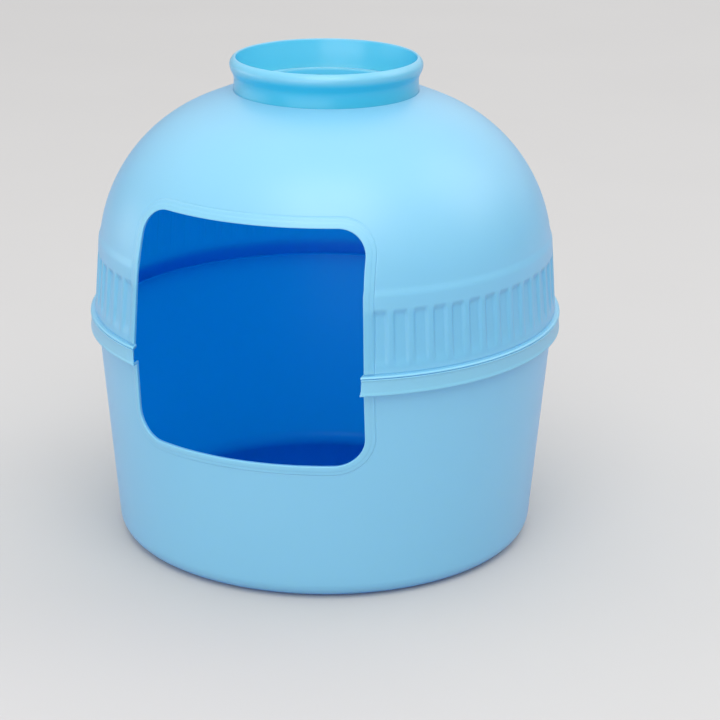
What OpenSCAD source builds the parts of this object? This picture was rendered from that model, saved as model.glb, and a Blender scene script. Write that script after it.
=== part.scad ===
// Hooded cat litter box in the shape of a lidded planter pot.
// A round tub carries a domed hood, a bead-rimmed collar stands on the dome,
// and a vented plant cup hangs in the collar over a carbon filter in a snap-on tray.
// Millimetres, +Z up, origin on the floor at the tub's axis, entrance facing -Y.

/* [Shell] */
// Wall thickness of the tub and the hood
wall = 3; // [2.6:0.1:3.2]
// Radius of the hood's bottom flange, the widest part of the hood
flange_r = 241.2; // [240.6:0.1:241.4]

/* [Tub] */
// Radius at which the tub's wall would meet the floor if its corner were sharp
tub_foot_r = 214.6; // [213.5:0.1:215.5]
// Outward lean of the tub's wall, in degrees from vertical
tub_lean = 4.86; // [4.7:0.02:5]
// Rounding of the tub's bottom corner, outside
tub_corner_r = 18; // [14:1:20]
// Height of the stepped-out rim band's lower edge
band_z = 219.4; // [218.8:0.1:220]
// Height of the rim, where the hood's flange sits
rim_z = 236; // [235.5:0.1:236.5]
// Outer radius of the rim band
band_r = 241; // [240.6:0.1:241.4]

/* [Hood] */
// Height of the crease between the skirt and the dome
crease_z = 318; // [317:0.5:319]
// Skirt radius just below the crease
crease_r = 230.7; // [230.4:0.1:231]
// Skirt radius just above the flange
skirt_r = 236.4; // [236:0.1:236.8]
// Radius of the dome's arc
dome_r = 163.4; // [162.5:0.1:164]
// Distance of the arc's centre from the axis
dome_cx = 67.2; // [66.8:0.1:67.6]
// Height of the arc's centre
dome_cz = 295.6; // [295:0.1:296]
// Slope of the straight crown around the collar, in degrees from horizontal
crown_slope = 22.3; // [22:0.1:23]

/* [Flutes] */
// Grooves around the skirt
flute_count = 59; // [49:1:63]
// Angle of the first groove from the middle of the entrance
flute_first = 34.1; // [34:0.1:36]
// Depth of a groove
flute_depth = 1.2; // [0.6:0.1:1.5]
// Width of a groove
flute_w = 10; // [8:0.5:11]
// Height at which the grooves start
flute_z0 = 246; // [244:1:252]
// Height at which the grooves end
flute_z1 = 301; // [290:1:304]

/* [Entrance] */
// Half width of the entrance in the tub
door_tub_hw = 117.7; // [112:0.1:118]
// Half width of the entrance at the hood's flange
door_hood_hw = 118.8; // [113:0.1:119]
// Inward lean of the entrance's sides on the hood, in degrees
door_lean = 2.4; // [1.5:0.1:3]
// Height of the entrance's sill
door_z0 = 144.6; // [140:0.2:150]
// Height of the entrance's top edge
door_z1 = 374.8; // [368:0.2:377]
// Corner radius of the entrance
door_corner_r = 28; // [24:1:32]
// Width of the raised border around the entrance
border_w = 9; // [7:0.5:10]
// Height of the raised border above the wall
border_h = 1; // [0.6:0.1:1.4]

/* [Collar] */
// Radius of the collar where it stands on the dome
collar_foot_r = 93; // [92.8:0.1:93.4]
// Height of the collar's crest
crest_z = 494.8; // [493:0.2:496]
// Radius of the crest
crest_r = 92; // [91.6:0.1:92.4]
// Outer radius of the rolled bead
bead_r = 96.8; // [96.4:0.1:97.2]
// Radius of the waist below the bead
waist_r = 92.6; // [92.4:0.1:93]

/* [Plant cup] */
// Height of the top of the cup's lip
cup_lip_z = 466; // [465:0.5:467]
// Radius of the cup's mouth, the seat for a plant pot
cup_mouth_r = 79; // [78:0.2:79.2]
// Depth of the cup from its lip to the underside of its floor
cup_depth = 58; // [54:1:60]
// Radius of the cup's vent holes
vent_r = 3.2; // [2.5:0.1:3.6]

/* [Filter] */
// Radius of the carbon filter pad
filter_r = 70; // [66:0.5:70]
// Thickness of the carbon filter pad
filter_h = 9; // [6:0.5:12]

/* [Hidden] */
$fn = 96;
blue = [0.36, 0.72, 0.9];
charcoal = [0.13, 0.13, 0.14];
far = 600;

// tub
function tub_r(z) = tub_foot_r + z * tan(tub_lean);
corner_cx = tub_r(tub_corner_r) - tub_corner_r / cos(tub_lean);
shoulder_z = band_z + wall - 0.4;
band_in_r = band_r - 3;
band_root_r = tub_r(band_z) - wall - 0.5;
lip_h = 2;
lip_out = 0.4;
tub_border_z0 = 0.6 * door_z0;
// how far a raised border is sunk into the wall it stands on
sunk = 1;

// hood
crown_a = 90 - crown_slope;
crown_start = [dome_cx + dome_r * cos(crown_a), dome_cz + dome_r * sin(crown_a)];
crown_top_z = crown_start[1] + (crown_start[0] - collar_foot_r) * tan(crown_slope);
flange_z0 = rim_z + 0.5;
flange_z1 = rim_z + 2.6;
flange_chamfer = 0.7;
crease_thick = 1.2;
seat_drop = 6;
seat_z = crown_top_z - seat_drop;
seat_clear = 0.4;
neck_r = 84;
// the corner arcs stand this far out of the leaning sides, so that each side meets its arc at a clear angle
corner_bulge = 0.15;
skirt_lean = atan((skirt_r - crease_r) / (crease_z - flange_z1));
flute_pitch = (360 - 2 * flute_first) / (flute_count - 1);
flute_cut_r = (pow(flute_w / 2, 2) + pow(flute_depth, 2)) / (2 * flute_depth);

// collar
bead_section_r = 7.4;
bead_c = [bead_r - bead_section_r, crest_z - bead_section_r - 0.4];
waist_z = crest_z - 20;
bead_root = [bead_r - 3, crest_z - 13];
crest_w = 1.6;
shoulder_drop = 8;
spigot_out_r = neck_r - 0.5;
spigot_in_r = cup_mouth_r + 2.6;
spigot_drop = 9;

// cup and tray
cup_wall = 2;
ledge_z = cup_lip_z - cup_wall;
cup_lip_r = 85.6;
lip_clear = 0.4;
cup_out_r = cup_mouth_r + cup_wall;
cup_neck_z = cup_lip_z - 14;
cup_floor_z = cup_lip_z - cup_depth;
cup_foot_z = cup_floor_z - 6;
cup_foot_r = 75;
cup_taper_z = cup_floor_z + 8;
tray_wall = 1.6;
tray_in_r = cup_foot_r + 0.4;
tray_floor_h = 2;
tray_z = cup_foot_z - filter_h - tray_floor_h - 1;
tray_h = cup_floor_z - tray_z - 0.5;
grille_r = 4;
// each row of holes: how many, and the radius of their circle
vent_rows = [[6, 18], [12, 36], [18, 54]];
grille_rows = [[6, 16], [12, 32], [18, 48], [24, 63]];

// Tub ---------------------------------------------------------------

// Everything inside the tub's outer surface, shrunk by d
module tub_outline(d) {
    arc_r = tub_corner_r - d;
    slant = d / cos(tub_lean);
    edge = [corner_cx + arc_r * cos(tub_lean), tub_corner_r - arc_r * sin(tub_lean)];
    translate([corner_cx, tub_corner_r])
        circle(r = arc_r);
    polygon([[0, d], [corner_cx, d], [corner_cx, tub_corner_r], edge,
             [tub_r(rim_z) - slant, rim_z], [0, rim_z]]);
}

module tub_profile() {
    intersection() {
        difference() {
            tub_outline(0);
            tub_outline(wall);
        }
        square([far, shoulder_z]);
    }
    polygon([[band_root_r, band_z], [band_r, band_z], [band_r - lip_out, rim_z],
             [band_in_r, rim_z], [band_in_r, shoulder_z], [band_root_r, shoulder_z]]);
    translate([band_r - lip_h, band_z])
        square([lip_h + lip_out, lip_h]);
}

// A border strip that stands proud of the tub's wall
module tub_border_profile() {
    polygon([[tub_r(tub_border_z0) - sunk, tub_border_z0],
             [tub_r(tub_border_z0) + border_h, tub_border_z0],
             [tub_r(band_z) + border_h, band_z], [tub_r(band_z) - sunk, band_z]]);
}

// Front outline of the entrance in the tub, grown by g
module tub_door(g) {
    hw = door_tub_hw + g;
    r = door_corner_r + g;
    z0 = door_z0 - g;
    for (s = [-1, 1])
        translate([s * (hw - r), z0 + r])
            circle(r = r);
    translate([-(hw - r), z0])
        square([2 * (hw - r), far]);
    translate([-hw, z0 + r])
        square([2 * hw, far]);
}

// Extrudes an X-Z outline from the plane through the axis towards -Y
module forward(length) {
    rotate([90, 0, 0])
        linear_extrude(height = length)
            children();
}

module revolved() {
    rotate_extrude($fn = 180)
        children();
}

module base_pan() {
    color(blue)
    difference() {
        union() {
            revolved() tub_profile();
            intersection() {
                revolved() tub_border_profile();
                forward(far)
                    tub_door(border_w);
            }
        }
        forward(far)
            tub_door(0);
    }
}

// Hood --------------------------------------------------------------

// The dome's arc between radii dome_r - d0 and dome_r + d1, from height z_low up to the crown
module dome_strip(d0, d1, z_low) {
    top_a = crown_a + 1;
    intersection() {
        translate([dome_cx, dome_cz])
            difference() {
                circle(r = dome_r + d1, $fn = 240);
                circle(r = dome_r - d0, $fn = 240);
            }
        polygon([[dome_cx + (z_low - dome_cz) / tan(top_a), z_low], [far, z_low],
                 [far, dome_cz + (far - dome_cx) * tan(top_a)]]);
    }
}

// Straight crown up to the collar, then the step down to the collar's seat
module crown_profile() {
    across = [-wall * cos(crown_a), -wall * sin(crown_a)];
    edge_r = collar_foot_r + seat_clear;
    polygon([crown_start, [edge_r, crown_top_z - seat_clear * tan(crown_slope)], [edge_r, seat_z],
             [neck_r, seat_z], [neck_r, seat_z - wall],
             [collar_foot_r + wall, seat_z - wall], crown_start + across]);
}

// Skirt and flange, with the spigot that drops inside the tub's band
module skirt_profile() {
    cut = flange_chamfer;
    polygon([[crease_r, crease_z], [skirt_r, flange_z1], [flange_r - cut, flange_z1],
             [flange_r, flange_z1 - cut], [flange_r, flange_z0 + cut], [flange_r - cut, flange_z0],
             [skirt_r, flange_z0], [skirt_r, shoulder_z], [skirt_r - wall, shoulder_z],
             [skirt_r - wall, flange_z1], [crease_r - wall - crease_thick, crease_z]]);
}

module skirt_border_profile() {
    polygon([[crease_r - 2 * sunk, crease_z], [crease_r + border_h, crease_z],
             [skirt_r + border_h, flange_z1], [skirt_r - sunk, flange_z1]]);
}

// Front outline of the entrance in the hood, grown by g
module hood_door(g) {
    r = door_corner_r + g;
    cz = door_z1 - door_corner_r;
    c = cos(door_lean);
    s = sin(door_lean);
    top_hw = door_hood_hw + g / c - (cz + r * s - rim_z) * tan(door_lean);
    cx = top_hw - r * c;
    below = 40;
    foot_z = rim_z - below;
    foot_hw = door_hood_hw + g / c + below * tan(door_lean);
    for (k = [-1, 1])
        translate([k * (cx + corner_bulge), cz])
            circle(r = r);
    polygon([[-foot_hw, foot_z], [foot_hw, foot_z], [top_hw, cz + r * s], [cx, cz + r],
             [-cx, cz + r], [-top_hw, cz + r * s]]);
}

// Cutters that stand along the skirt's slope, one per groove
module flutes() {
    mid_z = (flute_z0 + flute_z1) / 2;
    mid_r = skirt_r - (mid_z - flange_z1) * tan(skirt_lean);
    for (k = [0 : flute_count - 1])
        rotate([0, 0, -90 + flute_first + k * flute_pitch])
            translate([mid_r - flute_depth + flute_cut_r, 0, mid_z])
                rotate([0, -skirt_lean, 0])
                    cylinder(r = flute_cut_r, h = flute_z1 - flute_z0, center = true, $fn = 48);
}

// The hood's wall before the entrance and the flutes are cut
module hood_shell() {
    revolved() dome_strip(wall, 0, crease_z - 2);
    revolved() crown_profile();
    revolved() skirt_profile();
}

module hood_border() {
    intersection() {
        union() {
            revolved() dome_strip(1, border_h, crease_z - 1);
            revolved() skirt_border_profile();
        }
        forward(far)
            hood_door(border_w);
    }
}

module hood() {
    color(blue)
    difference() {
        union() {
            hood_shell();
            hood_border();
        }
        forward(far)
            hood_door(0);
        flutes();
    }
}

// Collar, cup and filter ----------------------------------------------

module plant_collar() {
    color(blue)
    rotate_extrude($fn = 144)
    difference() {
        union() {
            translate(bead_c)
                circle(r = bead_section_r, $fn = 64);
            polygon([[spigot_in_r, seat_z], [collar_foot_r, seat_z], [collar_foot_r, crown_top_z],
                     [waist_r, waist_z], bead_root, [crest_r, bead_c[1]], [crest_r, crest_z],
                     [crest_r - crest_w, crest_z], [spigot_in_r, crest_z - shoulder_drop]]);
            translate([spigot_in_r, seat_z - spigot_drop])
                square([spigot_out_r - spigot_in_r, spigot_drop + sunk]);
        }
        // the flared mouth above the cup's ledge
        polygon([[0, ledge_z], [cup_lip_r + lip_clear, ledge_z],
                 [crest_r - crest_w, crest_z - crest_w], [crest_r - crest_w, far], [0, far]]);
    }
}

// Rows of round holes through a floor of thickness h that starts at z = 0
module hole_rows(rows, r, h) {
    for (row = rows)
        for (k = [0 : row[0] - 1])
            rotate([0, 0, 360 * k / row[0]])
                translate([row[1], 0, -h / 2])
                    cylinder(r = r, h = 2 * h, $fn = 24);
}

module plant_cup() {
    foot_in_r = cup_foot_r - cup_wall;
    color(blue)
    difference() {
        rotate_extrude($fn = 144)
            polygon([[0, cup_floor_z], [foot_in_r, cup_floor_z], [foot_in_r, cup_foot_z],
                     [cup_foot_r, cup_foot_z], [cup_foot_r, cup_taper_z], [cup_out_r, cup_neck_z],
                     [cup_out_r, ledge_z], [cup_lip_r, ledge_z], [cup_lip_r, cup_lip_z],
                     [cup_mouth_r, cup_lip_z], [cup_mouth_r, cup_neck_z], [foot_in_r, cup_taper_z],
                     [foot_in_r, cup_floor_z + cup_wall], [0, cup_floor_z + cup_wall]]);
        translate([0, 0, cup_floor_z])
            hole_rows(vent_rows, vent_r, cup_wall);
    }
}

module filter_tray() {
    color(blue)
    translate([0, 0, tray_z])
    difference() {
        rotate_extrude($fn = 120) {
            square([tray_in_r + tray_wall, tray_floor_h]);
            translate([tray_in_r, 0])
                square([tray_wall, tray_h]);
        }
        hole_rows(grille_rows, grille_r, tray_floor_h);
    }
}

module carbon_filter() {
    color(charcoal)
    translate([0, 0, tray_z + tray_floor_h])
        cylinder(r = filter_r, h = filter_h);
}

base_pan();
hood();
plant_collar();
plant_cup();
filter_tray();
carbon_filter();
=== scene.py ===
import math

import bmesh
import bpy
from mathutils import Matrix, Vector


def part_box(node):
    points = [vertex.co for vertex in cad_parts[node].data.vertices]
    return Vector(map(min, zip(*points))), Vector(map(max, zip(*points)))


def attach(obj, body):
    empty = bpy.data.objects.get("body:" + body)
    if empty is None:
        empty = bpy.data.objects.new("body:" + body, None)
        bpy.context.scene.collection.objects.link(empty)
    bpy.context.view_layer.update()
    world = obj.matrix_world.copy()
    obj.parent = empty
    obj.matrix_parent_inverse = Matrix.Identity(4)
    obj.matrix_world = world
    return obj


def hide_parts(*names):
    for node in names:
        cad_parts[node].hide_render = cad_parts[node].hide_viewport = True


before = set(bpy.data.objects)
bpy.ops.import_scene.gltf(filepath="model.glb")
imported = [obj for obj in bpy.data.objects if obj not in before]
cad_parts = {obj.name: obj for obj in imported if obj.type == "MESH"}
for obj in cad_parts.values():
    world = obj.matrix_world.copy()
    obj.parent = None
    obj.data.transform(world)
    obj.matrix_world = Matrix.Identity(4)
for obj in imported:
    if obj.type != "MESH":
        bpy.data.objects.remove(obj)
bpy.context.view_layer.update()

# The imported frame's own measures, in metres
PAN_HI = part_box("base_pan")[1]
HOOD_LO, HOOD_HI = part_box("hood")
COLLAR_LO, COLLAR_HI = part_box("plant_collar")
CUP_LO, CUP_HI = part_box("plant_cup")
PAD_LO, PAD_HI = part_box("carbon_filter")

MM = 0.001
WALL = 3 * MM
RIM_Z = PAN_HI.z

# Tub: a leaning wall with a round bottom corner and a stepped-out rim band
PAN_LEAN = math.radians(4.86)
PAN_FOOT_R = 214.6 * MM
PAN_CORNER_R = 18 * MM
BAND_DROP = 16.6 * MM
BAND_R = PAN_HI.y - 0.42 * MM
BAND_WALL = 2.4 * MM
BAND_LIP = 0.4 * MM
BAND_LIP_H = 2 * MM
SHOULDER_RISE = 2.6 * MM

# Hood: a flange on the rim, a leaning skirt, a crease, one dome arc and a straight crown
CREASE_Z = 318 * MM
CREASE_R = 230.7 * MM
SKIRT_R = 236.4 * MM
FLANGE_R = HOOD_HI.y - 0.15 * MM
FLANGE_Z0 = RIM_Z + 0.55 * MM
FLANGE_Z1 = RIM_Z + 2.6 * MM
FOOT_LINE = 0.5 * MM
DOME_R = 163.4 * MM
DOME_CX = 67.2 * MM
DOME_CZ = 295.6 * MM
CROWN_A = math.radians(90 - 22.3)
COLLAR_FOOT_R = 93 * MM
SEAT_R = COLLAR_FOOT_R + 0.2 * MM
SEAT_Z = COLLAR_LO.z + 9 * MM
NECK_R = 84 * MM

# The collar's outside from crest to foot: radius and drop below the crest, in mm
BEAD = [(90.6, 1.2), (91.0, 0.4), (91.8, 0.05), (93.2, 0.7), (95.2, 2.8), (96.6, 5.6), (96.75, 8.6),
        (95.9, 12.0), (94.4, 15.2), (93.2, 18.0), (92.65, 21.2), (92.6, 24.6), (92.8, 28.6), (93.0, 31.9)]

# Flutes around the skirt
FLUTES = 59
FLUTE_FIRST = math.radians(34.1)
FLUTE_PITCH = (2 * math.pi - 2 * FLUTE_FIRST) / (FLUTES - 1)
# A groove's flat bottom and its edges, either side of its middle, and its depth at the foot and the top
FLUTE_FLAT = math.radians(1.105)
FLUTE_EDGE = math.radians(2.08)
FLUTE_DEPTH = 1.5 * MM
POCKET_DEPTH = 2.6 * MM
FLUTE_Z0 = 246 * MM
FLUTE_Z1 = 301 * MM

# Entrance and the raised border around it
DOOR_PAN_HW = 117.7 * MM
DOOR_HOOD_HW = 118.8 * MM
DOOR_LEAN = math.radians(2.4)
DOOR_Z0 = 144.6 * MM
DOOR_Z1 = 374.8 * MM
DOOR_R = 28 * MM
# The spigot below the hood's flange is cut back behind the tub's band
SPIGOT_BACK = 2.6 * MM
# The border's height; the outer of its two flat steps is lower, and a fine groove runs around both
BORDER_H = 1.0 * MM
BORDER_LOW = 0.72
BORDER_STEP = (5.0 * MM, 5.7 * MM)
BORDER_EDGE = (8.6 * MM, 9.25 * MM)
GROOVE_DEPTH = 0.28
GROOVE_IN = (8.95 * MM, 9.3 * MM)
GROOVE_OUT = (9.6 * MM, 10.2 * MM)

# Colours of the plastic, each with its deeper cloudy variant
OUTER = (0.262, 0.678, 0.812)
OUTER_DEEP = (0.249, 0.662, 0.802)
# The inner faces are smooth, without the outer faces' pale haze; their deeper, saturated blue is also painted
# light, standing in for light bouncing around inside the cabin
INNER = (0.004, 0.43, 0.95)
INNER_DEEP = (0.003, 0.41, 0.94)
RING = (0.010, 0.515, 0.745)
RING_DEEP = (0.008, 0.500, 0.735)
# The collar's inner wall is painted paler than its outside: painted light from above
RING_INSIDE_PAINTED_LIGHT = (0.125, 0.715, 0.880)
RING_INSIDE_PAINTED_LIGHT_DEEP = (0.115, 0.700, 0.870)
CUP = (0.20, 0.80, 0.94)
CUP_DEEP = (0.19, 0.785, 0.93)
# The rolled bead and the cup's lip get painted highlights, a paler tone, and the fluted band gets painted
# shade, a deeper tone
CREST_PAINTED_HIGHLIGHT = (0.17, 0.58, 0.75)
LIP_PAINTED_HIGHLIGHT = (0.42, 0.92, 0.98)
BELT_PAINTED_SHADE = (0.190, 0.590, 0.745)
# Light that has come through the wall
GLOW = (0.006, 0.63, 1.0)

# Studio: the floor, the sky's light, the lights and the camera
FLOOR_TONE = (0.495, 0.488, 0.486)
FLOOR_R = 9.0
FLOOR_DROP = 0.2 * MM
SKY_TOP = (1.42, 1.42, 1.42)
SKY_SIDE = (0.39, 0.39, 0.39)
# Name, place, target, width, height and watts of each light
LIGHTS = [
    ("key_front", (0.75, -1.8, 3.1), (0, 0, 0.25), 2.6, 2.6, 43),
    ("low_fill", (0.0, -3.2, 0.8), (0, 0, 0.15), 3.4, 1.5, 26),
    ("left_fill", (-2.8, -0.6, 0.45), (0, 0, 0.1), 2.6, 0.8, 9),
    ("back_right", (2.0, 1.2, 2.2), (0, 0, 0.3), 1.8, 1.8, 12),
    ("back_wall", (0.3, 4.0, 1.6), (0, 0, 0.4), 5.0, 2.4, 10),
]
# Focal length in mm, distance from the axis, height and angles of the camera
CAM_F = 112.94
CAM_D = 2.2278
CAM_H = 0.9402
CAM_SIDE = math.radians(21.5)
CAM_PITCH = 0.3311
CAM_YAW = 0.0162
CAM_ROLL = 0.0088


# Small maths -------------------------------------------------------------

def ramp(x, a, b):
    """0 below a, 1 above b, smooth between."""
    t = min(1.0, max(0.0, (x - a) / (b - a)))
    return t * t * (3 - 2 * t)


def mix(a, b, t):
    return a + (b - a) * t


def spread(a, b, n):
    """n values from a to b, both included."""
    return [mix(a, b, k / (n - 1)) for k in range(n)]


def around(n):
    """n angles evenly spaced over a full turn."""
    return [2 * math.pi * k / n for k in range(n)]


def rounded(corners, steps=4):
    """A path through corners (r, z, reach of the rounding, and optionally its steps)."""
    out = []
    for k, (r, z, reach, *own) in enumerate(corners):
        n = own[0] if own else steps
        if reach <= 0 or k in (0, len(corners) - 1):
            out.append((r, z))
            continue
        here = Vector((r, z))
        back = Vector(corners[k - 1][:2]) - here
        on = Vector(corners[k + 1][:2]) - here
        start = here + back.normalized() * min(reach, back.length * 0.49)
        end = here + on.normalized() * min(reach, on.length * 0.49)
        for j in range(n + 1):
            t = j / n
            p = start * (1 - t) ** 2 + here * 2 * t * (1 - t) + end * t ** 2
            out.append((p.x, p.y))
    return out


def curve_through(points, steps=6):
    """A smooth curve through (r, z) points."""
    pts = [points[0], *points, points[-1]]
    out = []
    for a, b, c, d in zip(pts, pts[1:], pts[2:], pts[3:]):
        for j in range(steps):
            t = j / steps
            out.append(tuple(
                0.5 * (2 * q + (s - p) * t + (2 * p - 5 * q + 4 * s - u) * t ** 2
                       + (3 * q - p - 3 * s + u) * t ** 3)
                for p, q, s, u in zip(a, b, c, d)))
    out.append(points[-1])
    return out


# Surfaces ------------------------------------------------------------------

def at(phi, r, z):
    """Point at angle phi from the middle of the entrance, towards +X."""
    return (r * math.sin(phi), -r * math.cos(phi), z)


def face_outwards(mesh):
    bm = bmesh.new()
    bm.from_mesh(mesh)
    bmesh.ops.recalc_face_normals(bm, faces=bm.faces)
    bm.to_mesh(mesh)
    bm.free()


class Skin:
    """Collects vertices and faces of one closed shell."""

    def __init__(self):
        self.verts = []
        self.faces = []
        self.inner = []

    def put(self, points):
        first = len(self.verts)
        self.verts.extend(points)
        return list(range(first, len(self.verts)))

    def strip(self, a, b, inner=False, loop=False):
        """Quads between two rows of vertices; loop also joins their ends."""
        n = len(a)
        for k in range(n if loop else n - 1):
            j = (k + 1) % n
            self.face((a[k], a[j], b[j], b[k]), inner)

    def face(self, corners, inner=False):
        self.faces.append(corners)
        self.inner.append(inner)

    def build(self, name, materials):
        mesh = bpy.data.meshes.new(name)
        mesh.from_pydata(self.verts, [], self.faces)
        for m in materials:
            mesh.materials.append(m)
        mesh.polygons.foreach_set("use_smooth", [True] * len(mesh.polygons))
        if len(materials) > 1:
            mesh.polygons.foreach_set("material_index", [1 if i else 0 for i in self.inner])
        mesh.validate()
        face_outwards(mesh)
        piece = bpy.data.objects.new(name, mesh)
        bpy.context.scene.collection.objects.link(piece)
        return piece


# Heights in mm of the rows beside the entrance and past its corners, close together where the shape turns
SKIRT_ROWS = (243.6, 245.5, 247.5, 249.5, 252, 256, 262, 270, 278, 284, 287.5, 289.7, 292, 294.5, 296, 297.4,
              298.8, 300.2, 301.2, 302.2, 304.5, 308, 311, 312.6, 314, 315.4, 316.8, 318.2, 319.6, 321, 322.6,
              326, 331, 337, 343)
DOME_ROWS = (353, 358.5, 364, 370, 376, 382.5, 389, 396)
TUB_ROWS = (208, 200, 192, 184, 177)
TUB_PAST_ROWS = (167, 161, 155, 149, 143, 137, 131, 124)
TUB_LOW_ROWS = (110, 94, 78, 62, 46, 32, 24)
TUB_FLOOR_RADII = (190, 170, 140, 105, 70, 40, 15)
# Columns across one flute, as shares of its pitch
FLUTE_COLUMNS = (0, .086, .12, .15, .18, .21, .24, .28, .33, .41,
                 .5, .59, .67, .72, .76, .79, .82, .85, .88, .914)
# Growth of the rings that follow the entrance's outline, outside and inside
RINGS = [g * MM for g in (2.2, 3.8, 5.0, 5.35, 5.7, 6.2, 7.4, 8.4, 8.7, 8.95, 9.2, 9.45, 9.7, 10.1, 10.6)]
OUT_RINGS = [1.0 * MM] + RINGS
IN_RINGS = [0.8 * MM] + RINGS
# Rounded edge of the cut: growth of the outline, and depth below the surface
OUT_EDGE = [(0.62 * MM, 0.08 * MM), (0.29 * MM, 0.29 * MM), (0.08 * MM, 0.62 * MM), (0, 1.0 * MM)]
IN_EDGE = [(0, 0.8 * MM), (0.06 * MM, 0.5 * MM), (0.23 * MM, 0.23 * MM), (0.5 * MM, 0.06 * MM)]
BLENDS = 11
# A flute shows this much of its depth on the wall's inner face
INNER_DENT = 0.55
ARC_STEPS = 9
EDGE_STEPS = 36
FRONT_STEPS = 2 * ARC_STEPS + EDGE_STEPS


class DoorShell(Skin):
    """A wall of revolution, cut by an entrance that starts at its open end.

    The rows run from the open end to beyond the entrance: the legs of the cut, then those past its corners.
    """

    def __init__(self, legs_out, legs_in, past, out_r, in_r, dent, door, side, border_from,
                 cover=lambda z: 0.0):
        super().__init__()
        self.legs = {"out": legs_out, "in": legs_in}
        self.radius = {"out": out_r, "in": in_r}
        self.past = past
        self.dent = dent
        self.door = door
        self.side = side
        self.border_from = border_from
        self.cover = cover
        self.turn = side[0]
        self.last = len(legs_out) + len(past) - 1
        self.count = 2 * (self.last + 1) + FRONT_STEPS - 1
        self.front = spread(-self.turn, self.turn, FRONT_STEPS + 1)

    def row_at(self, face, k):
        """(r, z) of row k before any dent."""
        legs = self.legs[face]
        if k < len(legs):
            return legs[k]
        z = self.past[k - len(legs)]
        return self.radius[face](z), z

    def spot(self, face, phi, z, r=None, lift=0.0):
        r = self.radius[face](z) if r is None else r
        share = 1.0 if face == "out" else INNER_DENT
        return at(phi, r - share * self.dent(phi, z) + lift, z)

    def rail(self, i, face, g):
        """Point i of the entrance's outline grown by g: (phi, r, z, on a leg)."""
        d = self.door
        legs = self.legs[face]
        right = i >= self.count - len(legs)
        k = self.count - 1 - i if right else i
        if k < len(legs):
            r, z = legs[k]
            x = (d["half"](z) + g / math.cos(d["lean"])) * (1 if right else -1)
            return self.angle_of(x, r, z), r, z, True
        x, z = self.corner(i, g)
        r = self.radius[face](z)
        return self.angle_of(x, r, z), r, z, False

    def corner(self, i, g):
        """A point of the outline past the legs, grown by g."""
        d = self.door
        n = len(self.legs["out"]) - 1
        middle = (d["lean"] + math.pi / 2) / 2
        mirror = i > (self.count - 1) / 2
        k = self.count - 1 - i if mirror else i
        if k <= self.last:
            a = mix(d["lean"], middle, (k - n) / (self.last - n))
        else:
            a = mix(middle, math.pi / 2, min(1.0, (k - self.last) / ARC_STEPS))
        x = d["cx"] + (d["r"] + g) * math.cos(a)
        z = d["cz"] + d["up"] * (d["r"] + g) * math.sin(a)
        step = k - self.last - ARC_STEPS
        if step > 0:
            x = d["cx"] * (1 - step / (EDGE_STEPS / 2))
        return (x if mirror else -x), z

    def angle_of(self, x, r, z):
        phi = math.asin(x / r)
        for _ in range(3):
            phi = math.asin(x / (r - self.dent(phi, z)))
        return phi

    def border(self, g, z):
        """Height of the raised border at growth g: two flat steps, then a fine groove around them."""
        high = mix(1.0, BORDER_LOW, ramp(g, *BORDER_STEP))
        inside = 1 - ramp(g, *BORDER_EDGE)
        groove = GROOVE_DEPTH * ramp(g, *GROOVE_IN) * (1 - ramp(g, *GROOVE_OUT))
        return BORDER_H * (high * inside - groove) * self.border_from(z) + self.cover(z) * inside

    def ring(self, face, g):
        ids = []
        for i in range(self.count):
            phi, r, z, _ = self.rail(i, face, g)
            lift = self.border(g, z) if face == "out" else 0.0
            ids += self.put([self.spot(face, phi, z, r, lift)])
        return ids

    def edge_ring(self, face, g, depth):
        """A ring on the rounded edge: depth from one face towards the other, along the cut."""
        other = "in" if face == "out" else "out"
        ids = []
        for i in range(self.count):
            start = self.edge_point(i, face, g)
            a = self.edge_point(i, face, 0)
            b = self.edge_point(i, other, 0)
            ids += self.put([tuple(Vector(start) + (Vector(b) - Vector(a)).normalized() * depth)])
        return ids

    def edge_point(self, i, face, g):
        phi, r, z, _ = self.rail(i, face, g)
        lift = self.border(0, z) if face == "out" else 0.0
        return self.spot(face, phi, z, r, lift)

    def blend_ring(self, face, g, t):
        """A ring between the last grown outline and the frame of rows and columns around it."""
        ids = []
        for i in range(self.count):
            phi, r, z, leg = self.rail(i, face, g)
            to_phi, to_z = self.frame_at(i, face)
            if leg:
                ids += self.put([self.spot(face, mix(phi, to_phi, t), z, r)])
            else:
                ids += self.put([self.spot(face, mix(phi, to_phi, t), mix(z, to_z, t))])
        return ids

    def frame_at(self, i, face):
        mirror = self.count - 1 - i
        if min(i, mirror) <= self.last:
            k = min(i, mirror)
            return (self.turn if mirror < i else -self.turn), self.row_at(face, k)[1]
        return self.front[i - self.last], self.row_at(face, self.last)[1]

    def frame_ids(self, rows):
        """The ready vertices that the outermost blend ring joins."""
        n = len(self.side)
        left = [rows[k][n - 1] for k in range(self.last + 1)]
        top = rows[self.last][n:]
        right = [rows[k][0] for k in range(self.last, -1, -1)]
        return left + top + right

    def wall(self, face):
        """One face of the wall around the entrance; returns its full last row, first row and rings."""
        inner = face == "in"
        rows = []
        for k in range(self.last):
            r, z = self.row_at(face, k)
            rows.append(self.put([self.spot(face, p, z, r) for p in self.side]))
        r, z = self.row_at(face, self.last)
        rows.append(self.put([self.spot(face, p, z, r) for p in self.side + self.front[1:-1]]))
        for a, b in zip(rows, rows[1:]):
            self.strip(a, b[:len(self.side)], inner)
        grown = OUT_RINGS if face == "out" else IN_RINGS
        rings = [self.ring(face, g) for g in grown]
        rings += [self.blend_ring(face, grown[-1], k / (BLENDS + 1)) for k in range(1, BLENDS + 1)]
        rings.append(self.frame_ids(rows))
        for a, b in zip(rings, rings[1:]):
            self.strip(a, b, inner)
        return rows, rings

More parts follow.
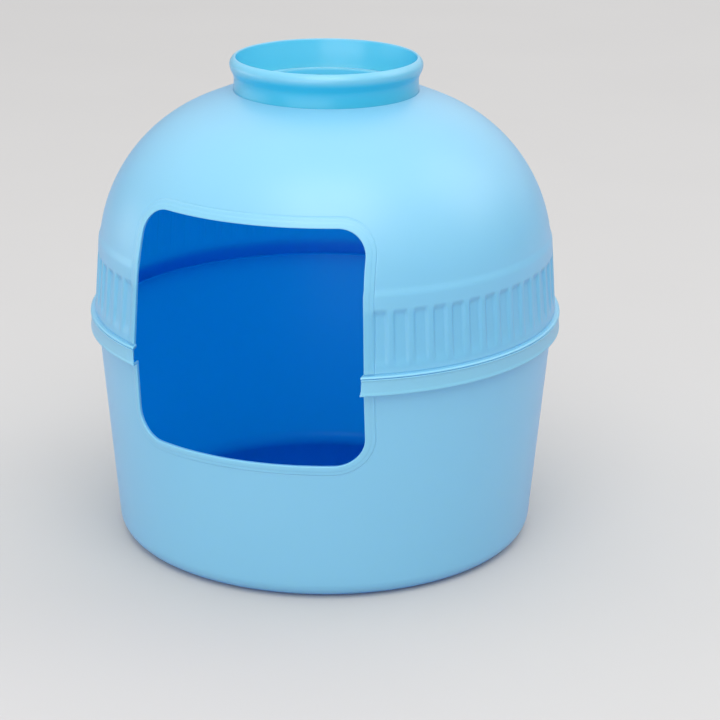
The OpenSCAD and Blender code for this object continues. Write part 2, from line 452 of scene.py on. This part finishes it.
    def make(self, far_out, far_in, joined):
        """far_out and far_in carry on past the entrance; they join each other, or each closes at the axis."""
        rows_out, rings_out = self.wall("out")
        rows_in, rings_in = self.wall("in")
        edge = [rings_out[0]]
        edge += [self.edge_ring("out", g, d) for g, d in OUT_EDGE]
        edge += [self.edge_ring("in", g, d) for g, d in IN_EDGE]
        edge.append(rings_in[0])
        for a, b in zip(edge, edge[1:]):
            self.strip(a, b)
        # the open end: the wall's rim, and the ends of the cut
        self.strip(rows_out[0], rows_in[0])
        for end in (0, self.count - 1):
            self.strip([r[end] for r in rings_out], [r[end] for r in rings_in])
            self.face(tuple(r[end] for r in edge))
        last_out = self.far(rows_out[self.last], far_out, False)
        last_in = self.far(rows_in[self.last], far_in, True)
        if joined:
            self.strip(last_out, last_in, True, loop=True)
        else:
            self.close(last_out, far_out[-1][1], False)
            self.close(last_in, far_in[-1][1], True)

    def far(self, row, path, inner):
        for r, z in path:
            nxt = self.put([at(p, r, z) for p in self.side + self.front[1:-1]])
            self.strip(row, nxt, inner, loop=True)
            row = nxt
        return row

    def close(self, row, z, inner):
        pole = self.put([(0.0, 0.0, z)])[0]
        n = len(row)
        for k in range(n):
            self.face((row[k], row[(k + 1) % n], pole), inner)


# Hood ------------------------------------------------------------------------

def dome_radius(z, inset=0.0):
    return DOME_CX + math.sqrt(max(0.0, (DOME_R - inset) ** 2 - (z - DOME_CZ) ** 2))


def skirt_radius(z):
    return mix(SKIRT_R, CREASE_R, (z - FLANGE_Z1) / (CREASE_Z - FLANGE_Z1))


def hood_out(z):
    return mix(skirt_radius(z), dome_radius(z), ramp(z, CREASE_Z - 6 * MM, CREASE_Z + 3.5 * MM))


def crease_cover(z):
    """How far the border's flat face stands off the crease it runs across."""
    return mix(skirt_radius(z), dome_radius(z), ramp(z, CREASE_Z - 18 * MM, CREASE_Z + 18 * MM)) - hood_out(z)


def hood_in(z):
    return mix(skirt_radius(z) - WALL, dome_radius(z, WALL), ramp(z, CREASE_Z - 7 * MM, CREASE_Z + 6 * MM))


def flute(phi, z):
    """Depth of the groove at this place on the skirt."""
    if not FLUTE_Z0 - 2 * MM < z < FLUTE_Z1 + 2 * MM:
        return 0.0
    turn = (phi % (2 * math.pi)) - FLUTE_FIRST
    if turn < -FLUTE_PITCH / 2 or turn > (FLUTES - 0.5) * FLUTE_PITCH:
        return 0.0
    off = abs((turn / FLUTE_PITCH + 0.5) % 1.0 - 0.5) * FLUTE_PITCH
    across = 1 - ramp(off, FLUTE_FLAT, FLUTE_EDGE)
    deep = mix(FLUTE_DEPTH, POCKET_DEPTH, ramp(z, FLUTE_Z0, FLUTE_Z1 + 6 * MM))
    foot = ramp(z, FLUTE_Z0 - 2 * MM, FLUTE_Z0 + 10 * MM)
    top = 1 - ramp(z, FLUTE_Z1 - 6.5 * MM, FLUTE_Z1 + 1.0 * MM)
    return deep * foot * across * top


def hood_door():
    cz = DOOR_Z1 - DOOR_R
    leg_top = cz + DOOR_R * math.sin(DOOR_LEAN)

    def half(z):
        lip = ramp(z, FLANGE_Z0 - 1.0 * MM, FLANGE_Z0) * (1 - ramp(z, FLANGE_Z1, FLANGE_Z1 + 1.2 * MM))
        spigot = 1 - ramp(z, FLANGE_Z0 - 2.0 * MM, FLANGE_Z0 - 0.8 * MM)
        return DOOR_HOOD_HW - (z - RIM_Z) * math.tan(DOOR_LEAN) - 1.1 * MM * lip + SPIGOT_BACK * spigot

    return {"lean": DOOR_LEAN, "r": DOOR_R, "cz": cz, "up": 1, "half": half, "leg_end": leg_top,
            "cx": half(leg_top) - DOOR_R * math.cos(DOOR_LEAN)}


def hood_piece(materials):
    foot = HOOD_LO.z + 0.2 * MM
    spigot = [(-0.40, 0.0), (-0.12, 0.3), (0.0, 0.9), (0.0, 6.0)]
    legs_out = [(SKIRT_R + r * MM, foot + z * MM) for r, z in spigot]
    legs_out += rounded([(SKIRT_R, FLANGE_Z0 - 4 * MM, 0), (SKIRT_R, FLANGE_Z0, 0.5 * MM),
                         (FLANGE_R, FLANGE_Z0, 0.6 * MM),
                         (FLANGE_R, FLANGE_Z1 - 1.1 * MM, 0.5 * MM), (FLANGE_R - 1.2 * MM, FLANGE_Z1, 0.6 * MM),
                         (SKIRT_R - FOOT_LINE, FLANGE_Z1 - 0.1 * MM, 0.3 * MM),
                         (SKIRT_R - FOOT_LINE, FLANGE_Z1 + 0.5 * MM, 0.3 * MM),
                         (skirt_radius(FLANGE_Z1 + 1.2 * MM), FLANGE_Z1 + 1.2 * MM, 0.4 * MM),
                         (skirt_radius(FLANGE_Z1 + 4 * MM), FLANGE_Z1 + 4 * MM, 0)])
    door = hood_door()
    legs_out += [(hood_out(z * MM), z * MM) for z in SKIRT_ROWS]
    legs_out.append((hood_out(door["leg_end"]), door["leg_end"]))
    legs_in = []
    low = foot
    for k, (r, z) in enumerate(legs_out):
        low = max(z, low + 0.12 * MM) if k else foot
        round_foot = (0.40, 0.12, 0.0)[k] * MM if k < 3 else 0.0
        legs_in.append((hood_in(low) if low > FLANGE_Z1 else SKIRT_R - WALL + round_foot, low))
    past = [z * MM for z in DOME_ROWS]
    turn = FLUTE_FIRST + FLUTE_PITCH / 2
    side = [turn + FLUTE_PITCH * (k + f) for k in range(FLUTES - 2) for f in FLUTE_COLUMNS]
    side.append(2 * math.pi - turn)
    shell = DoorShell(legs_out, legs_in, past, hood_out, hood_in, flute, door, side,
                      lambda z: ramp(z, FLANGE_Z1 + 0.3 * MM, FLANGE_Z1 + 1.6 * MM), crease_cover)
    top = past[-1]
    arc = spread(math.asin((top - DOME_CZ) / DOME_R), CROWN_A, 15)[1:]
    arc_in = spread(math.asin((top - DOME_CZ) / (DOME_R - WALL)), CROWN_A, 15)[1:]

    def on_dome(a, inset):
        return (DOME_CX + (DOME_R - inset) * math.cos(a), DOME_CZ + (DOME_R - inset) * math.sin(a))

    outside = [on_dome(a, 0) for a in arc]
    last_r, last_z = outside[-1]
    edge_z = last_z + (last_r - SEAT_R) / math.tan(CROWN_A)
    outside += rounded([(last_r, last_z, 0), (mix(last_r, SEAT_R, 0.5), mix(last_z, edge_z, 0.5), 1 * MM),
                        (SEAT_R, edge_z, 0.3 * MM), (SEAT_R, SEAT_Z, 0.4 * MM), (NECK_R, SEAT_Z, 0.8 * MM),
                        (NECK_R, SEAT_Z - WALL / 2, 0)])[1:]
    inside = [on_dome(a, WALL) for a in arc_in]
    inside += rounded([(*inside[-1], 0), (SEAT_R + WALL, SEAT_Z - WALL, 3 * MM),
                       (NECK_R, SEAT_Z - WALL, 0.8 * MM), (NECK_R, SEAT_Z - WALL / 2 - 0.2 * MM, 0)])[1:]
    shell.make(outside, inside, joined=True)
    return shell.build("hood_shell", materials)


# Tub ---------------------------------------------------------------------------

def pan_out(z):
    return PAN_FOOT_R + z * math.tan(PAN_LEAN)


def pan_in(z):
    return pan_out(z) - WALL / math.cos(PAN_LEAN)


def pan_door():
    cz = DOOR_Z0 + DOOR_R
    band_z = RIM_Z - BAND_DROP

    def half(z):
        band = ramp(z, band_z + 2.6 * MM, band_z + 4.2 * MM)
        tip = ramp(z, band_z - 0.3 * MM, band_z) * (1 - ramp(z, band_z + 1.2 * MM, band_z + 2.2 * MM))
        return DOOR_PAN_HW + 0.5 * MM * band - 0.5 * MM * tip

    return {"lean": 0.0, "r": DOOR_R, "cz": cz, "up": -1, "half": half, "leg_end": cz,
            "cx": DOOR_PAN_HW - DOOR_R}


def pan_piece(materials):
    band_z = RIM_Z - BAND_DROP
    shoulder = band_z + SHOULDER_RISE
    band_in = BAND_R - BAND_WALL
    rim_r = BAND_R + 0.3 * MM
    wall_z = band_z - 4 * MM
    outside = rounded([(rim_r - 1.6 * MM, RIM_Z, 0), (rim_r, RIM_Z, 0.8 * MM),
                       (rim_r, RIM_Z - 1.3 * MM, 0.5 * MM),
                       (BAND_R - 0.3 * MM, RIM_Z - 2.1 * MM, 0.4 * MM),
                       (BAND_R - 0.2 * MM, RIM_Z - 8.4 * MM, 0.4 * MM),
                       (BAND_R - 0.05 * MM, band_z + BAND_LIP_H + 1.4 * MM, 1.2 * MM),
                       (BAND_R + BAND_LIP, band_z + BAND_LIP_H, 0.7 * MM),
                       (BAND_R + BAND_LIP, band_z, 0.8 * MM), (pan_out(band_z), band_z, 1.0 * MM),
                       (pan_out(wall_z), wall_z, 0)], 3)
    # as many rows as outside, because the cut joins them row by row
    inside = rounded([(rim_r - 1.6 * MM, RIM_Z, 0), (band_in, RIM_Z, 0.8 * MM, 7),
                      (band_in, RIM_Z - 2.6 * MM, 0.4 * MM, 3), (band_in, RIM_Z - 4.4 * MM, 0.4 * MM, 3),
                      (band_in, RIM_Z - 8.4 * MM, 0.4 * MM, 3),
                      (band_in, shoulder, 1.4 * MM, 5), (pan_in(shoulder), shoulder, 1.0 * MM, 5),
                      (pan_in(wall_z), wall_z, 0)])
    door = pan_door()
    heights = [z * MM for z in TUB_ROWS] + [door["leg_end"]]
    legs_out = outside + [(pan_out(z), z) for z in heights]
    legs_in = inside + [(pan_in(z), z) for z in heights]
    past = [z * MM for z in TUB_PAST_ROWS]
    turn = math.radians(37)
    side = spread(turn, 2 * math.pi - turn, 181)
    shell = DoorShell(legs_out, legs_in, past, pan_out, pan_in, lambda phi, z: 0.0, door, side,
                      lambda z: 1 - ramp(z, band_z - 1.6 * MM, band_z - 0.3 * MM))

    def foot(inset, floor_z):
        r = PAN_CORNER_R - inset
        cx = pan_out(PAN_CORNER_R) - PAN_CORNER_R / math.cos(PAN_LEAN)
        turns = spread(-PAN_LEAN, -math.pi / 2, 10)
        wall = [z * MM for z in TUB_LOW_ROWS]
        radius = pan_in if inset else pan_out
        path = [(radius(z), z) for z in wall]
        path += [(cx + r * math.cos(a), PAN_CORNER_R + r * math.sin(a)) for a in turns]
        return path + [(r * MM, floor_z) for r in TUB_FLOOR_RADII]

    shell.make(foot(0.0, 0.0), foot(WALL, WALL), joined=False)
    return shell.build("tub_shell", materials)


# Collar, cup, tray and filter ------------------------------------------------------

def lathe(name, profile, columns, materials, inner=lambda r, z: False):
    """Turns a closed (r, z) loop about the axis."""
    skin = Skin()
    turns = around(columns)
    rings = [skin.put([at(p, r, z) for p in turns]) for r, z in profile]
    for k, ring in enumerate(rings):
        j = (k + 1) % len(rings)
        mid = [(a + b) / 2 for a, b in zip(profile[k], profile[j])]
        skin.strip(ring, rings[j], inner(*mid), loop=True)
    return skin.build(name, materials)


def collar_piece(materials):
    top = COLLAR_HI.z
    ledge = CUP_LO.z + 62 * MM
    outside = curve_through([(r * MM, top - drop * MM) for r, drop in BEAD], 5)
    spigot_r = NECK_R - 0.6 * MM
    spigot_in = CUP_HI.x - 4.0 * MM
    mouth_r = CUP_HI.x + 0.4 * MM
    low = COLLAR_LO.z + 0.1 * MM
    body = rounded([(*outside[-1], 0), (COLLAR_FOOT_R, SEAT_Z + 0.2 * MM, 0.8 * MM),
                    (spigot_r, SEAT_Z + 0.2 * MM, 0.6 * MM), (spigot_r, low, 0.8 * MM),
                    (spigot_in, low, 0.8 * MM), (spigot_in, ledge, 0.8 * MM), (mouth_r, ledge, 0.9 * MM),
                    (mouth_r + 2.2 * MM, ledge + 14 * MM, 8 * MM),
                    (outside[0][0] - 0.1 * MM, top - 2.4 * MM, 0)])
    loop = outside + body[1:]
    return lathe("collar_ring", loop, 256, materials, lambda r, z: r < outside[0][0] and z > ledge - 0.5 * MM)


def pad_piece(material):
    """The carbon foam pad: a disc with soft edges and an uneven, open surface."""
    skin = Skin()
    turns = around(160)
    half = (PAD_HI.z - PAD_LO.z) / 2
    mid = (PAD_HI.z + PAD_LO.z) / 2
    r_out = PAD_HI.x - 0.4 * MM
    top = half - 0.2 * MM
    soft = 2.4 * MM
    lump_h = 0.16 * MM
    rim = [(r_out - soft + soft * math.cos(a), top - soft + soft * math.sin(a))
           for a in spread(math.pi / 2, 0, 7)]
    flat = [(r_out * t, top) for t in (0.02, 0.06, *spread(0.12, 0.92, 11))]
    path = flat + rim
    path += [(r, -z) for r, z in reversed(path)]
    rings = []
    for r, z in path:
        lumps = [lump_h * (math.sin(9 * p + 260 * r) + math.sin(14 * p - 410 * r)) for p in turns]
        sunk = [math.copysign(0.35 * MM + u, z) / 2 for u in lumps]
        rings.append(skin.put([at(p, r, mid + z - d) for p, d in zip(turns, sunk)]))
    for a, b in zip(rings, rings[1:]):
        skin.strip(a, b, loop=True)
    for ring in (rings[0], rings[-1]):
        pole = skin.put([(0.0, 0.0, skin.verts[ring[0]][2])])[0]
        for k in range(len(ring)):
            skin.face((ring[k], ring[(k + 1) % len(ring)], pole))
    return skin.build("filter_pad", [material])


def soften(node, width):
    """Rounds a CAD node's sharp edges for looks."""
    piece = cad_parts[node]
    bevel = piece.modifiers.new("edges", "BEVEL")
    bevel.width = width
    bevel.segments = 2
    bevel.limit_method = "ANGLE"
    bevel.angle_limit = math.radians(40)
    bevel.harden_normals = True


# Materials -----------------------------------------------------------------------

def new_material(name):
    mat = bpy.data.materials.new(name)
    mat.use_nodes = True
    nodes = mat.node_tree.nodes
    return mat, nodes, mat.node_tree.links, nodes["Principled BSDF"]


def noise(nodes, links, coords, scale, detail=3.0, rough=0.5):
    tex = nodes.new("ShaderNodeTexNoise")
    tex.inputs["Scale"].default_value = scale
    tex.inputs["Detail"].default_value = detail
    tex.inputs["Roughness"].default_value = rough
    links.new(coords.outputs["Object"], tex.inputs["Vector"])
    return tex.outputs["Fac"]


def between(nodes, links, fac, low, high):
    """Maps 0..1 noise to low..high."""
    node = nodes.new("ShaderNodeMapRange")
    node.inputs["From Min"].default_value = 0.3
    node.inputs["From Max"].default_value = 0.7
    node.inputs["To Min"].default_value = low
    node.inputs["To Max"].default_value = high
    links.new(fac, node.inputs["Value"])
    return node.outputs["Result"]


def polypropylene(name, base, deep, through, rough, grain, coat_ior=1.5, coat_rough=0.34):
    """Moulded satin plastic: cloudy colour, uneven gloss, fine grain, and light that seeps through the wall."""
    mat, nodes, links, shader = new_material(name)
    coords = nodes.new("ShaderNodeTexCoord")
    cloud = between(nodes, links, noise(nodes, links, coords, 7.0), 0.0, 1.0)
    tint = nodes.new("ShaderNodeMix")
    tint.data_type = "RGBA"
    tint.inputs["A"].default_value = (*base, 1)
    tint.inputs["B"].default_value = (*deep, 1)
    links.new(cloud, tint.inputs["Factor"])
    links.new(tint.outputs["Result"], shader.inputs["Base Color"])
    links.new(between(nodes, links, noise(nodes, links, coords, 24.0, 5.0), rough - 0.03, rough + 0.04),
              shader.inputs["Roughness"])
    shader.inputs["IOR"].default_value = 1.49
    shader.inputs["Specular IOR Level"].default_value = 0.75
    shader.inputs["Coat Weight"].default_value = 1.0
    shader.inputs["Coat IOR"].default_value = coat_ior
    shader.inputs["Coat Roughness"].default_value = coat_rough
    seep = nodes.new("ShaderNodeBsdfTranslucent")
    seep.inputs["Color"].default_value = (*GLOW, 1)
    both = nodes.new("ShaderNodeMixShader")
    both.inputs["Fac"].default_value = through
    links.new(shader.outputs["BSDF"], both.inputs[1])
    links.new(seep.outputs["BSDF"], both.inputs[2])
    links.new(both.outputs["Shader"], nodes["Material Output"].inputs["Surface"])
    fine = nodes.new("ShaderNodeBump")
    fine.inputs["Strength"].default_value = grain
    fine.inputs["Distance"].default_value = 0.00006
    links.new(noise(nodes, links, coords, 1500.0, 2.0), fine.inputs["Height"])
    wave = nodes.new("ShaderNodeBump")
    wave.inputs["Strength"].default_value = 0.10
    wave.inputs["Distance"].default_value = 0.0012
    links.new(noise(nodes, links, coords, 9.0, 1.0), wave.inputs["Height"])
    links.new(fine.outputs["Normal"], wave.inputs["Normal"])
    links.new(wave.outputs["Normal"], shader.inputs["Normal"])
    return mat


def tone_by_height(mat, tone, stops):
    """Blends the colour towards another tone; stops are (height, share of that tone)."""
    nodes, links = mat.node_tree.nodes, mat.node_tree.links
    base = nodes["Principled BSDF"].inputs["Base Color"]
    coords = nodes.new("ShaderNodeTexCoord")
    split = nodes.new("ShaderNodeSeparateXYZ")
    links.new(coords.outputs["Object"], split.inputs["Vector"])
    low, high = stops[0][0], stops[-1][0]
    rise = nodes.new("ShaderNodeMapRange")
    rise.inputs["From Min"].default_value = low
    rise.inputs["From Max"].default_value = high
    links.new(split.outputs["Z"], rise.inputs["Value"])
    share = nodes.new("ShaderNodeValToRGB")
    share.color_ramp.interpolation = "EASE"
    steps = share.color_ramp.elements
    while len(steps) < len(stops):
        steps.new(0.5)
    for step, (z, weight) in zip(steps, stops):
        step.position = (z - low) / (high - low)
        step.color = (weight, weight, weight, 1)
    links.new(rise.outputs["Result"], share.inputs["Fac"])
    tint = nodes.new("ShaderNodeMix")
    tint.data_type = "RGBA"
    links.new(share.outputs["Color"], tint.inputs["Factor"])
    links.new(base.links[0].from_socket, tint.inputs["A"])
    tint.inputs["B"].default_value = (*tone, 1)
    links.new(tint.outputs["Result"], base)


def carbon_foam():
    """Open-celled black foam: grey struts, and painted shade darkening the pits between them."""
    mat, nodes, links, shader = new_material("carbon_foam")
    coords = nodes.new("ShaderNodeTexCoord")
    cells = nodes.new("ShaderNodeTexVoronoi")
    cells.inputs["Scale"].default_value = 750.0
    links.new(coords.outputs["Object"], cells.inputs["Vector"])
    # painted shade: the pits are darker than the struts
    shade = nodes.new("ShaderNodeValToRGB")
    shade.color_ramp.elements[0].position = 0.15
    shade.color_ramp.elements[0].color = (0.004, 0.004, 0.005, 1)
    shade.color_ramp.elements[1].position = 0.6
    shade.color_ramp.elements[1].color = (0.055, 0.055, 0.06, 1)
    links.new(cells.outputs["Distance"], shade.inputs["Fac"])
    links.new(shade.outputs["Color"], shader.inputs["Base Color"])
    bump = nodes.new("ShaderNodeBump")
    bump.inputs["Strength"].default_value = 0.9
    bump.inputs["Distance"].default_value = 0.0009
    links.new(cells.outputs["Distance"], bump.inputs["Height"])
    links.new(bump.outputs["Normal"], shader.inputs["Normal"])
    links.new(between(nodes, links, noise(nodes, links, coords, 300.0), 0.8, 0.98), shader.inputs["Roughness"])
    return mat


def backdrop_paper():
    mat, nodes, links, shader = new_material("backdrop_paper")
    coords = nodes.new("ShaderNodeTexCoord")
    tint = nodes.new("ShaderNodeMix")
    tint.data_type = "RGBA"
    tint.inputs["A"].default_value = (*FLOOR_TONE, 1)
    tint.inputs["B"].default_value = (*[c * 0.985 for c in FLOOR_TONE], 1)
    links.new(between(nodes, links, noise(nodes, links, coords, 3.0), 0.0, 1.0), tint.inputs["Factor"])
    links.new(tint.outputs["Result"], shader.inputs["Base Color"])
    shader.inputs["Roughness"].default_value = 0.85
    return mat


# Studio ----------------------------------------------------------------------------

def floor_piece(material):
    skin = Skin()
    turns = around(96)
    rings = [skin.put([at(p, FLOOR_R * t, -FLOOR_DROP) for p in turns]) for t in (0.01, 0.05, 0.2, 0.5, 1.0)]
    for a, b in zip(rings, rings[1:]):
        skin.strip(a, b, loop=True)
    skin.face(tuple(rings[0]))
    floor = skin.build("studio_floor", [material])
    for poly in floor.data.polygons:
        if poly.normal.z < 0:
            floor.data.flip_normals()
            break
    return floor


def softbox(name, spot, target, width, height, power):
    light = bpy.data.lights.new(name, "AREA")
    light.shape = "RECTANGLE"
    light.size = width
    light.size_y = height
    light.energy = power
    lamp = bpy.data.objects.new(name, light)
    lamp.location = spot
    lamp.rotation_euler = (Vector(target) - Vector(spot)).to_track_quat("-Z", "Y").to_euler()
    bpy.context.scene.collection.objects.link(lamp)


def surroundings(top, side):
    """Grey world, lighter overhead."""
    world = bpy.data.worlds.new("surroundings")
    bpy.context.scene.world = world
    world.use_nodes = True
    nodes, links = world.node_tree.nodes, world.node_tree.links
    coords = nodes.new("ShaderNodeTexCoord")
    split = nodes.new("ShaderNodeSeparateXYZ")
    links.new(coords.outputs["Generated"], split.inputs["Vector"])
    blend = nodes.new("ShaderNodeMapRange")
    blend.inputs["From Min"].default_value = 0.0
    blend.inputs["From Max"].default_value = 0.9
    links.new(split.outputs["Z"], blend.inputs["Value"])
    tint = nodes.new("ShaderNodeMix")
    tint.data_type = "RGBA"
    tint.inputs["A"].default_value = (*side, 1)
    tint.inputs["B"].default_value = (*top, 1)
    links.new(blend.outputs["Result"], tint.inputs["Factor"])
    back = nodes["Background"]
    links.new(tint.outputs["Result"], back.inputs["Color"])
    back.inputs["Strength"].default_value = 1.0


def camera():
    cam = bpy.data.cameras.new("camera")
    cam.lens = CAM_F
    cam.sensor_width = 36
    cam.clip_end = 50
    rig = bpy.data.objects.new("camera", cam)
    bpy.context.scene.collection.objects.link(rig)
    look = Vector((math.sin(CAM_YAW) * math.cos(CAM_PITCH), math.cos(CAM_YAW) * math.cos(CAM_PITCH),
                   -math.sin(CAM_PITCH)))
    right = Vector((math.cos(CAM_YAW), -math.sin(CAM_YAW), 0))
    up = right.cross(look)
    right, up = (right * math.cos(CAM_ROLL) + up * math.sin(CAM_ROLL),
                 up * math.cos(CAM_ROLL) - right * math.sin(CAM_ROLL))
    turn = Matrix.Rotation(CAM_SIDE, 3, "Z")
    axes = Matrix((turn @ right, turn @ up, turn @ -look)).transposed()
    rig.matrix_world = Matrix.Translation(turn @ Vector((0, -CAM_D, CAM_H))) @ axes.to_4x4()
    bpy.context.scene.camera = rig


# Build -------------------------------------------------------------------------------

shell_skin = polypropylene("shell_satin", OUTER, OUTER_DEEP, through=0.30, rough=0.42, grain=0.25)
shell_inside = polypropylene("shell_inside", INNER, INNER_DEEP, through=0.86, rough=0.52, grain=0.25)
ring_skin = polypropylene("ring_gloss", RING, RING_DEEP, through=0.25, rough=0.34, grain=0.15,
                          coat_ior=1.5, coat_rough=0.30)
# the collar's inside wall, painted paler with painted light
ring_inside = polypropylene("ring_inside", RING_INSIDE_PAINTED_LIGHT, RING_INSIDE_PAINTED_LIGHT_DEEP, through=0.30, rough=0.30, grain=0.15,
                            coat_ior=1.6, coat_rough=0.25)
cup_skin = polypropylene("cup_gloss", CUP, CUP_DEEP, through=0.30, rough=0.30, grain=0.15,
                         coat_ior=1.6, coat_rough=0.25)
# painted highlights make the rolled bead's top and the lip paler, and painted shade makes the fluted band and
# the belly above it deeper
tone_by_height(ring_skin, CREST_PAINTED_HIGHLIGHT, [(COLLAR_HI.z - 14 * MM, 0.0), (COLLAR_HI.z - 5 * MM, 1.0)])
# painted highlight along the top of the cup's lip
tone_by_height(cup_skin, LIP_PAINTED_HIGHLIGHT, [(CUP_HI.z - 2.5 * MM, 0.0), (CUP_HI.z - 0.4 * MM, 1.0)])
# painted shade: deepest over the fluted band, fading out up the belly of the dome
tone_by_height(shell_skin, BELT_PAINTED_SHADE, [(FLANGE_Z1, 0.0), (FLUTE_Z0, 1.0), (FLUTE_Z1 - 6 * MM, 1.0),
                                  (FLUTE_Z1 + 2 * MM, 0.45), (CREASE_Z, 0.35), (CREASE_Z + 90 * MM, 0.0)])
foam = carbon_foam()

hood = hood_piece([shell_skin, shell_inside])
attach(hood, "hood")
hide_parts("hood")

tub = pan_piece([shell_skin, shell_inside])
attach(tub, "base")
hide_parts("base_pan")

collar = collar_piece([ring_skin, ring_inside])
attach(collar, "collar")
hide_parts("plant_collar")

pad = pad_piece(foam)
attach(pad, "tray")
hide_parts("carbon_filter")

for name in ("plant_cup", "filter_tray"):
    soften(name, 0.4 * MM)
    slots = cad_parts[name].data.materials
    for k in range(len(slots)):
        slots[k] = cup_skin

floor = floor_piece(backdrop_paper())
surroundings(SKY_TOP, SKY_SIDE)
for row in LIGHTS:
    softbox(*row)
bpy.context.scene.view_settings.view_transform = "Standard"
camera()
